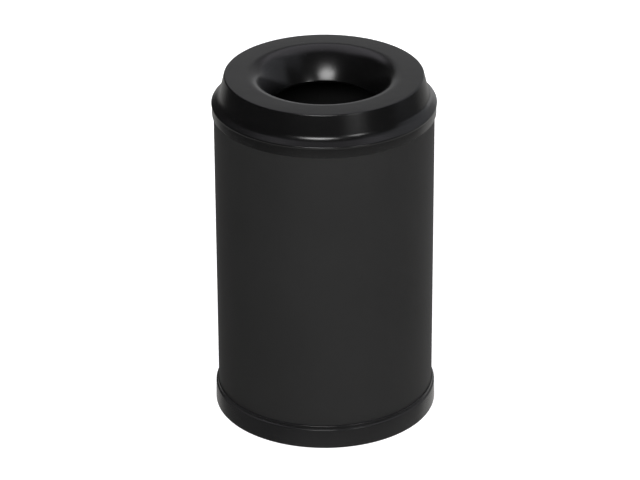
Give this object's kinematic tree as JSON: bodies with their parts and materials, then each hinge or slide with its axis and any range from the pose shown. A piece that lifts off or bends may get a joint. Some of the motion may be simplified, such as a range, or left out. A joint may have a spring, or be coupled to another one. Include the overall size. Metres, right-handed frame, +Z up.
{
  "type": "litter bin",
  "caption": "Round self-extinguishing litter bin: rolled steel can, lift-off funnel head with a centre throat, plastic foot ring.",
  "frame": {"origin": "centre of the foot ring's underside, on the floor", "axes": "+Z up along the can's axis, +Y towards the shell's seam, which is the back"},
  "size_m": [0.257, 0.257, 0.412],
  "materials": {
    "head_lacquer": "semi-gloss black baked lacquer on pressed aluminium",
    "shell_coat": "matte charcoal powder coat on rolled sheet steel",
    "pan_coat": "matte charcoal powder coat on pressed sheet steel",
    "wire_steel": "galvanised steel wire",
    "ring_plastic": "black moulded polypropylene, fine satin texture"
  },
  "bodies": {
    "can": {"shell": "shell_coat", "rim_wire": "wire_steel", "floor_pan": "pan_coat", "foot_ring": "ring_plastic"},
    "head": {"head": "head_lacquer"}
  },
  "joints": [
    {"name": "head_lift", "type": "slide", "parent": "can", "child": "head", "axis": [0, 0, 1], "range_m": [0, 0.15]}
  ]
}
